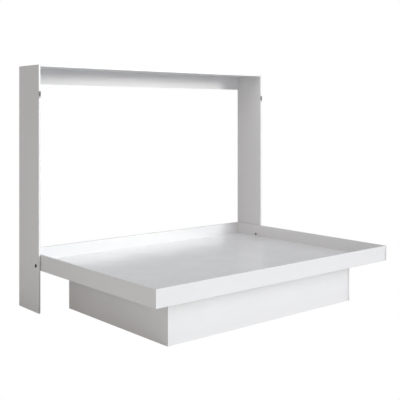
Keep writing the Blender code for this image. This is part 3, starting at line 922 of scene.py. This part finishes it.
def turned(node, material, axis, corners, easing, ring=True):
    """A piece turned from a profile. ring closes the profile on itself; otherwise its first and
    last corner lie on the axis."""
    profile, wear = eased(corners, easing)
    radii = profile[:, :1] * np.ones(LATHE_COLUMNS)
    points = around(seat(node, axis)[0], axis, radii, profile[:, 1:])
    mesh = make_mesh(points, grid_quads(len(profile), LATHE_COLUMNS, ring),
                     wear=np.repeat(wear, LATHE_COLUMNS))
    return place(node, mesh, material)


sample, _ = eased(((0, 0), (1, 0), (1, 1), (0, 1)), 0.1)
print("four corners become", len(sample), "profile points")

# %% [markdown]
# ### Washers, spacers and bushes
#
# The washers are punched steel, the spacers and bushes moulded nylon. Each is a ring: its profile
# closes on itself and never touches the axis.

# %% Rings on the pivots
BORE = 0.0053               # hole through the rings, for a 10 mm bolt
BUSH_SLEEVE = 0.0068
BUSH_FLANGE = 0.0012
PUNCHED_EDGE = 0.00018
MOULDED_EDGE = 0.0003


def ring_corners(radius, length, bore=BORE):
    """A plain ring's section, from the bore outwards and back."""
    return ((bore, 0), (radius, 0), (radius, length), (bore, length))


for side, sign in SIDES:
    inwards = (-sign, 0, 0)
    for part, material, edge in (("washer", zinc, PUNCHED_EDGE), ("spacer", nylon, MOULDED_EDGE)):
        node = f"{side}_pivot_{part}"
        _, length, radius = seat(node, inwards)
        turned(node, material, inwards, ring_corners(radius, length), edge)
    node = f"{side}_pivot_bush"
    _, length, flange = seat(node, inwards)
    section = ((BORE, 0), (flange, 0), (flange, BUSH_FLANGE), (BUSH_SLEEVE, BUSH_FLANGE),
               (BUSH_SLEEVE, length), (BORE, length))
    turned(node, nylon, inwards, section, MOULDED_EDGE)
print("rings on the pivots are made")

# %% [markdown]
# ### Bolts and screws
#
# A bolt or screw is one surface from the bottom of its driver recess to its tip. Most rows are
# circles, but a row may be any outline that can be written as a radius for each direction: a
# hexagon for the socket, a plus for the cross recess.

# %% Recess outlines
HEAD_COLUMNS = 96
LEAST = 1e-6                # keeps a division by a sine or cosine finite
TURN = np.linspace(0, math.tau, HEAD_COLUMNS, endpoint=False)


def hexagon(across_flats):
    """A hexagon's radius: half its width over the cosine of the turn from the nearest flat's
    middle."""
    sector = math.tau / 6
    from_flat = (TURN + sector / 2) % sector - sector / 2
    return across_flats / 2 / np.cos(from_flat)


def plus_sign(arm, width):
    """A plus sign's radius: the larger of the radii of two crossed rectangles, each of which is
    the nearer of its end and its side."""
    cosine = np.maximum(np.abs(np.cos(TURN)), LEAST)
    sine = np.maximum(np.abs(np.sin(TURN)), LEAST)
    upright = np.minimum(arm / cosine, width / 2 / sine)
    level = np.minimum(width / 2 / cosine, arm / sine)
    return np.maximum(upright, level)


print("a 6 mm hexagon is", round(hexagon(6.0).max() * 2, 2), "mm over its corners")

# %% [markdown]
# The thread is a triangle wave in the radius whose phase turns once round for each pitch travelled,
# which is what makes it a screw line. A Screw modifier could wind a section round the axis instead,
# but its ends would have to be closed and joined to the shank by hand.

# %% Threads, heads and stacked rows
THREAD_STEPS = 8            # rows for each pitch
DOME_STEPS = 7
BROKEN_EDGE = 1.05          # a recess's mouth is wider than its wall by this factor
BOTTOM_SHARE = 0.90         # its bottom's outline, as a share of the wall's
BOTTOM_CONE = 1.15          # how much deeper its middle is than its wall
EDGE_DROP = 0.06            # how far down the wall begins, as a share of the depth
HEAD_WEAR = 0.6


def thread(start, stop, major, depth, pitch):
    """Rows of a thread between two heights. The radius drops from the crest by the depth times a
    triangle wave of height over pitch minus turn, and the wave fades in and out over one pitch."""
    rows = max(2, int((stop - start) / pitch * THREAD_STEPS))
    heights = np.linspace(start, stop, rows)[:, None]
    phase = (heights / pitch - TURN[None, :] / math.tau) % 1.0
    fade = np.clip(np.minimum(heights - start, stop - heights) / pitch, 0, 1)
    return major - depth * fade * np.abs(2 * phase - 1), heights * np.ones(HEAD_COLUMNS)


def constant_rows(radii, heights):
    """Circular rows from lists of radii and heights."""
    columns = np.ones(HEAD_COLUMNS)
    return np.array(radii)[:, None] * columns, np.array(heights)[:, None] * columns


def domed_head(radius, dome, outline, recess):
    """Rows of a domed head with a recess: up the recess's wall, over its broken edge and along a
    quarter ellipse to the rim. Height is measured inwards from the top of the dome."""
    def crown(distance):
        return dome * (1 - np.sqrt(1 - np.clip(distance / radius, 0, 1) ** 2))

    lip = outline * BROKEN_EDGE
    start = np.arcsin(lip / radius)
    share = np.linspace(0, 1, DOME_STEPS)[:, None]
    sweep = (1 - share) * start + share * math.pi / 2
    radii = np.vstack((0 * outline, outline * BOTTOM_SHARE, outline, lip, radius * np.sin(sweep)))
    heights = np.vstack((recess * BOTTOM_CONE + 0 * outline, recess + 0 * outline,
                         crown(outline) + EDGE_DROP * recess, crown(lip),
                         dome * (1 - np.cos(sweep))))
    return radii, heights


def screw_piece(node, material, axis, parts):
    """Stacks rows into one closed surface. The first part is the head, and a driver rubs it from
    the recess's mouth to its rim."""
    radii, heights = (np.vstack(rows) for rows in zip(*parts))
    wear = np.zeros(radii.shape)
    wear[2:len(parts[0][0])] = HEAD_WEAR
    points = around(seat(node, axis)[0], axis, radii, heights)
    mesh = make_mesh(points, grid_quads(len(radii), HEAD_COLUMNS), wear=wear.ravel())
    return place(node, mesh, material)


print("a pitch of thread has", THREAD_STEPS, "rows of", HEAD_COLUMNS, "points")

# %% [markdown]
# The pivot bolts have a low domed head with a hexagon socket, a plain shank where they turn in the
# bush, and a machine thread only where the nut sits.

# %% Pivot bolts
BOLT_RADIUS = 0.005
BOLT_HEAD = 0.0045          # height of the head with its dome
BOLT_DOME = 0.003
SOCKET_ACROSS_FLATS = 0.006
SOCKET_DEPTH = 0.0028
BOLT_PITCH = 0.0015
BOLT_THREAD_DEPTH = 0.0008
BOLT_THREADED = 0.0085      # length of the threaded end

for side, sign in SIDES:
    node, inwards = f"{side}_pivot_bolt", (-sign, 0, 0)
    _, length, head_radius = seat(node, inwards)
    head = domed_head(head_radius, BOLT_DOME, hexagon(SOCKET_ACROSS_FLATS), SOCKET_DEPTH)
    soft, threaded_from = PUNCHED_EDGE, length - BOLT_THREADED
    under = constant_rows(
        [head_radius, head_radius, head_radius - soft, BOLT_RADIUS + soft, BOLT_RADIUS, BOLT_RADIUS],
        [BOLT_HEAD - 3 * soft, BOLT_HEAD - soft, BOLT_HEAD, BOLT_HEAD, BOLT_HEAD + soft,
         threaded_from])
    threaded = thread(threaded_from, length - BOLT_THREAD_DEPTH, BOLT_RADIUS, BOLT_THREAD_DEPTH,
                      BOLT_PITCH)
    end = constant_rows([BOLT_RADIUS - BOLT_THREAD_DEPTH, 0], [length, length])
    screw_piece(node, black_steel, inwards, (head, under, threaded, end))
print("pivot bolts are made, with heads", round(head_radius * 2000, 1), "mm across")

# %% [markdown]
# A nut is a ring whose outer rows are hexagons. Its faces end in a cone that cuts the six corners
# back, and the cone's height at each direction follows from how far the hexagon reaches there,
# which gives the curved edges that a real nut shows on its flats.

# %% Pivot nuts
CORNER_CUT = math.tan(math.radians(30))
NUT_LEAD_IN = 0.0004
NUT_GROOVE = 0.0006
NUT_WEAR = 0.8
NUT_FACE = 0.96             # the flat face's radius, as a share of the distance to a flat

for side, sign in SIDES:
    node, inwards = f"{side}_pivot_nut", (-sign, 0, 0)
    start, length, corner_radius = seat(node, inwards)
    low, high = corners_of(node)
    outline = hexagon(corner_radius * math.sqrt(3))
    if high[2] - low[2] > high[1] - low[1]:
        outline = np.roll(outline, HEAD_COLUMNS // 12)
    flat = outline.min() * NUT_FACE * np.ones(HEAD_COLUMNS)
    cut = (outline - flat) * CORNER_CUT
    mouth, _ = constant_rows([BORE + NUT_LEAD_IN], [0.0])
    groove = thread(NUT_LEAD_IN, length - NUT_LEAD_IN, BORE, -NUT_GROOVE, BOLT_PITCH)
    radii = np.vstack((mouth, flat, outline, outline, flat, mouth, groove[0][::-1]))
    heights = np.vstack((0 * flat, 0 * flat, cut, length - cut, length + 0 * flat,
                         length + 0 * flat, groove[1][::-1]))
    wear = np.zeros(radii.shape)
    wear[2:4] = NUT_WEAR
    mesh = make_mesh(around(start, inwards, radii, heights),
                     grid_quads(len(radii), HEAD_COLUMNS, ring=True), wear=wear.ravel())
    place(node, mesh, zinc)
print("pivot nuts are made,", round(2000 * outline.min(), 1), "mm across flats")

# %% [markdown]
# ### Wood screws
#
# Two screws hold the turn buttons and four hold the tray's floor down on the base. They have the
# same form: a pan head with a cross recess, and a coarse thread that runs out in a point.

# %% Wood screws
CROSS_REACH = 0.52          # of the head's radius
CROSS_DEPTH_SHARE = 0.62    # of the head's height
DOME_SHARE = 0.55           # of the head's height
TIP_LENGTH = 0.004
WOOD_PITCH = 0.0018
WOOD_THREAD_DEPTH = 0.0006


def wood_screw(node, material, axis, head_radius, head_height, shank):
    """A cross-recessed pan head, a short plain neck, a coarse thread and a tapered tip."""
    length = seat(node, axis)[1]
    outline = plus_sign(head_radius * CROSS_REACH, head_radius * CROSS_REACH / 2)
    head = domed_head(head_radius, head_height * DOME_SHARE, outline,
                      head_height * CROSS_DEPTH_SHARE)
    soft, root, tip_from = PUNCHED_EDGE, shank - WOOD_THREAD_DEPTH, length - TIP_LENGTH
    neck = constant_rows(
        [head_radius, head_radius - soft, shank + soft, shank, shank],
        [head_height - soft, head_height, head_height, head_height + soft, head_height + shank])
    threaded = thread(head_height + shank, tip_from, shank, WOOD_THREAD_DEPTH, WOOD_PITCH)
    tip = constant_rows([root, root / 2, 0], [tip_from, length - TIP_LENGTH / 3, length])
    return screw_piece(node, material, axis, (head, neck, threaded, tip))


LATCH_SCREW = (0.0042, 0.0026, 0.002)       # head radius, head height, shank radius
BASE_SCREW = (0.0045, 0.003, 0.0022)

for side, _ in SIDES:
    wood_screw(f"{side}_latch_screw", black_steel, (0, 1, 0), *LATCH_SCREW)
    for row in ("front", "back"):
        wood_screw(f"base_screw_{side}_{row}", zinc, (0, 0, 1), *BASE_SCREW)
print("six wood screws are made")

# %% [markdown]
# ### Turn buttons
#
# A turn button is a small casting, coloured dark grey: a bar with round ends, a boss round its
# screw, a thinner waist on each side and raised finger ends. Seen along its axis it's a stadium,
# whose radius in any direction has two cases: on the straight sides it is half the width over the
# sine of the turn, and on the round ends it comes from the circle's equation. Rows run from the
# bore over the back, round the rim and back over the top, where the height dips at the waist.

# %% Turn buttons and their washers
BUTTON_BORE = 0.0023
BUTTON_EDGE = 0.0006
ROUND_ROWS = 5              # rows over the rim's round, on each of its two sides
TOP_ROWS = 13
BUTTON_DIP = 0.0009         # how much thinner the waist is than the boss
BOSS = (0.0052, 0.0080)     # where the boss starts and stops sloping down
FINGER = (0.0125, 0.0170)   # where the end starts and stops sloping up


def smooth_step(value, start, stop):
    """0 before start, 1 after stop, and 3t^2 - 2t^3 of the share t between them."""
    t = np.clip((value - start) / (stop - start), 0, 1)
    return t * t * (3 - 2 * t)


def stadium(half_length, half_width):
    """The radius of a bar with round ends, whose long way is at no turn."""
    centre = half_length - half_width
    cosine = np.abs(np.cos(TURN))
    sine = np.maximum(np.abs(np.sin(TURN)), LEAST)
    side = half_width / sine
    end = centre * cosine + np.sqrt(np.maximum(half_width ** 2 - (centre * sine) ** 2, 0))
    return np.where(half_width * cosine <= centre * sine, side, end)


def button_top(radii, thickness):
    """The height over the back at each point: full on the boss and the ends, less between."""
    boss = 1 - smooth_step(radii, *BOSS)
    finger = smooth_step(radii * np.abs(np.cos(TURN)), *FINGER)
    return thickness - BUTTON_DIP * (1 - boss) * (1 - finger)


def turn_button(node):
    """The button, from its node's box."""
    low, high = corners_of(node)
    half = (high - low) / 2
    thickness = 2 * half[1]
    quarter = np.linspace(0, math.pi / 2, ROUND_ROWS)[:, None]
    inset = BUTTON_EDGE * (1 - np.sin(quarter))
    rise = BUTTON_EDGE * (1 - np.cos(quarter)) * np.ones(HEAD_COLUMNS)
    back = stadium(half[2] - inset, half[0] - inset)
    front = back[::-1]
    shrink = np.linspace(1, 0, TOP_ROWS + 1)[1:, None]
    top = BUTTON_BORE + shrink * (front[-1] - BUTTON_BORE)
    bore = np.full(HEAD_COLUMNS, BUTTON_BORE)
    radii = np.vstack((bore, back, front, top))
    heights = np.vstack((0 * bore, rise, button_top(front, thickness) - rise[::-1],
                         button_top(top, thickness)))
    wear = np.zeros(radii.shape)
    wear[1 + ROUND_ROWS // 2:2 + 2 * ROUND_ROWS] = 1.0
    outwards = (0, -1, 0)
    mesh = make_mesh(around(seat(node, outwards)[0], outwards, radii, heights),
                     grid_quads(len(radii), HEAD_COLUMNS, ring=True), wear=wear.ravel())
    return place(node, mesh, dark_casting)


for side, _ in SIDES:
    turn_button(f"{side}_latch")
    node, backwards = f"{side}_latch_washer", (0, 1, 0)
    _, length, radius = seat(node, backwards)
    turned(node, zinc, backwards, ring_corners(radius, length, BUTTON_BORE), PUNCHED_EDGE)
print("two turn buttons on their washers are made")

# %% [markdown]
# ### Caps
#
# The wall screws are reached through the rail and hidden by push-in caps: a low dome with a
# stepped rim on a short stem. One profile makes all three.

# %% Wall screw caps
CAP_RIM = 0.0007            # height of the cap's rim
CAP_THICKNESS = 0.0012
CAP_CROWN = (0.82, 0.0002)  # where the dome turns down: share of the radius, and depth there
CAP_STEM = 0.0026
STEM_CHAMFER = 0.0006
CROWN_EDGE = 0.0004

for place_name in ("left", "middle", "right"):
    node, backwards = f"wall_screw_cap_{place_name}", (0, 1, 0)
    _, length, radius = seat(node, backwards)
    corners = ((0, 0), (radius * CAP_CROWN[0], CAP_CROWN[1]),
               (radius, CAP_THICKNESS - CAP_RIM), (radius, CAP_THICKNESS),
               (CAP_STEM, CAP_THICKNESS), (CAP_STEM, length - STEM_CHAMFER),
               (CAP_STEM - STEM_CHAMFER, length), (0, length))
    easing = (0, CROWN_EDGE, MOULDED_EDGE, PUNCHED_EDGE, MOULDED_EDGE, PUNCHED_EDGE,
              PUNCHED_EDGE, 0)
    turned(node, cap_plastic, backwards, corners, easing, ring=False)
print("three caps are made")

# %% [markdown]
# ### Dowels
#
# Dowels are beech, with flutes pressed along them that let the glue escape. A flute is a cosine in
# the radius, twelve to the turn, and the chamfered ends have none.

# %% Dowels
FLUTES = 12
FLUTE_DEPTH = 0.0003
DOWEL_CHAMFER = 0.0008
DOWEL_COLUMNS = 72


def dowel(node):
    """A fluted pin: full radius less a flute depth that follows a cosine, with chamfered ends."""
    along = (1, 0, 0)
    start, length, radius = seat(node, along)
    turn = np.linspace(0, math.tau, DOWEL_COLUMNS, endpoint=False)
    fluted = radius - FLUTE_DEPTH * (0.5 + 0.5 * np.cos(FLUTES * turn))
    end = np.full(DOWEL_COLUMNS, radius - DOWEL_CHAMFER)
    radii = np.vstack((0 * end, end, fluted, fluted, end, 0 * end))
    stations = np.array((0, 0, DOWEL_CHAMFER, length - DOWEL_CHAMFER, length, length))[:, None]
    mesh = make_mesh(around(start, along, radii, stations), grid_quads(len(radii), DOWEL_COLUMNS))
    return place(node, mesh, beech)


dowels = [node for node in sorted(frame["nodes"]) if "dowel" in node]
for node in dowels:
    dowel(node)
print(len(dowels), "dowels are made")

# %% [markdown]
# ## The boards, drilled and grooved
#
# Now the boards themselves. First comes a list of every boring in the bed, worked out from the
# pieces that sit in them: a dowel's hole is its own box and a little more. A boring is then
# drilled in each board that it runs into, just as a drilling jig would do it. The four rims of
# the tray also have a groove along their inner faces, and the floor has the tongue that fills it.

# %% Borings
OVERRUN = 0.005             # how far a drill passes a face that it comes out of
HALF_GAP = 0.0015           # short of the next board, where two stand close together
WALL_HOLE = 0.003

borings = []


def bore(node, axis, start, stop, radius):
    """Notes a boring through the middle of a node, between two places along axis 0, 1 or 2."""
    ends = np.tile(sum(corners_of(node)) / 2, (2, 1))
    ends[:, axis] = start, stop
    borings.append((*ends, radius))


def borings_in(low, high):
    """The borings whose boxes overlap a board's box."""
    return [(start, end, radius) for start, end, radius in borings
            if np.all(np.minimum(start, end) - radius * (start == end) < high)
            and np.all(np.maximum(start, end) + radius * (start == end) > low)]


for node in dowels:
    low, high = corners_of(node)
    bore(node, 0, low[0] - FIT, high[0] + FIT, (high - low)[2] / 2 + FIT)
for side, sign in SIDES:
    for board, radius, outer, inner in (
            (f"{side}_side_panel", BUSH_SLEEVE + FIT, OVERRUN, HALF_GAP),
            (f"tray_{side}_rim", BORE, HALF_GAP, OVERRUN)):
        low, high = corners_of(board)
        below, above = (inner, outer) if sign > 0 else (outer, inner)
        bore(f"{side}_pivot_bush", 0, low[0] - below, high[0] + above, radius)
    node = f"{side}_latch_screw"
    bore(node, 1, upright_low[1] - OVERRUN, corners_of(node)[1][1] + FIT, LATCH_SCREW[2] + FIT)
    for row in ("front", "back"):
        node = f"base_screw_{side}_{row}"
        bore(node, 2, corners_of(f"base_cleat_{side}")[0][2] - OVERRUN,
             corners_of(node)[1][2] + FIT, BASE_SCREW[2] + FIT)
low, high = corners_of("back_rail")
for place_name in ("left", "middle", "right"):
    bore(f"wall_screw_cap_{place_name}", 1, low[1] - OVERRUN, high[1] + OVERRUN, WALL_HOLE)
print(len(borings), "borings")

# %% [markdown]
# The groove and the tongue are one thin board, taken out of the rims with a little room and added
# to the floor without, so they always fit each other. The holes are drilled last.

# %% Boards
TONGUE_THICKNESS = 0.006
ROUTED_EDGE = 0.0003        # round left by a router bit
HIDDEN_EDGE = 0.0004        # edges that are cut and not banded

floor_low, floor_high = corners_of("tray_floor")
tongue_level = (floor_low[2] + floor_high[2]) / 2


def tongue_box(room):
    """The corners of the floor's tongue, grown by some room."""
    low, high = floor_low - room, floor_high + room
    low[2] = tongue_level - TONGUE_THICKNESS / 2 - room
    high[2] = tongue_level + TONGUE_THICKNESS / 2 + room
    return low, high


def finish_board(node, material, edge=EDGE_ROUND, shape=None, groove=False, tongue=False):
    """Shapes, grooves and drills one board. shape gives its corners where the node's box holds
    more than the board itself."""
    low, high = shape or corners_of(node)
    mesh = make_mesh(*board_arrays(low, high, edge))
    mesh.materials.append(material)
    for wanted, operation, room in ((groove, "DIFFERENCE", FIT), (tongue, "UNION", 0.0)):
        if wanted:
            points, quads, _ = board_arrays(*tongue_box(room), ROUTED_EDGE)
            mesh = cut_with(mesh, points, quads, operation, core)
    holes = borings_in(low, high)
    if holes:
        mesh = drill(mesh, holes, core)
    return place(node, mesh, material), len(holes)


rims = [f"tray_{side}_rim" for side in ("front", "back", "left", "right")]
banded = ["left_side_panel", "right_side_panel", "top_panel", "back_rail",
          "base_left_panel", "base_right_panel", "base_front_panel", "base_back_panel"]
unbanded = ["base_bottom_panel", "base_rib_left", "base_rib_right"]
for node in banded + rims:
    piece, count = finish_board(node, white_board, groove=node in rims)
    print(f"{piece.name}: {count} holes, {len(piece.data.polygons)} faces")
for node in unbanded:
    finish_board(node, white_board, edge=HIDDEN_EDGE)

inner_low = np.array((corners_of("tray_left_rim")[1][0], corners_of("tray_front_rim")[1][1],
                      floor_low[2])) + (FIT, FIT, 0)
inner_high = np.array((corners_of("tray_right_rim")[0][0], corners_of("tray_back_rim")[0][1],
                       floor_high[2])) - (FIT, FIT, 0)
finish_board("tray_floor", white_board, edge=ROUTED_EDGE, shape=(inner_low, inner_high),
             tongue=True)

for place_name, pine in (("front", pine_along_x), ("back", pine_along_x),
                         ("left", pine_along_y), ("right", pine_along_y)):
    finish_board(f"base_cleat_{place_name}", pine)
print("all boards and battens are made")

# %% [markdown]
# ## Checks
#
# Nothing plain may still show, and any node whose plain solid still does is listed.

# %% Finish
still_plain = [node for node, solid in frame["nodes"].items() if not solid.hide_render]
print("plain nodes still showing:", still_plain or "none")
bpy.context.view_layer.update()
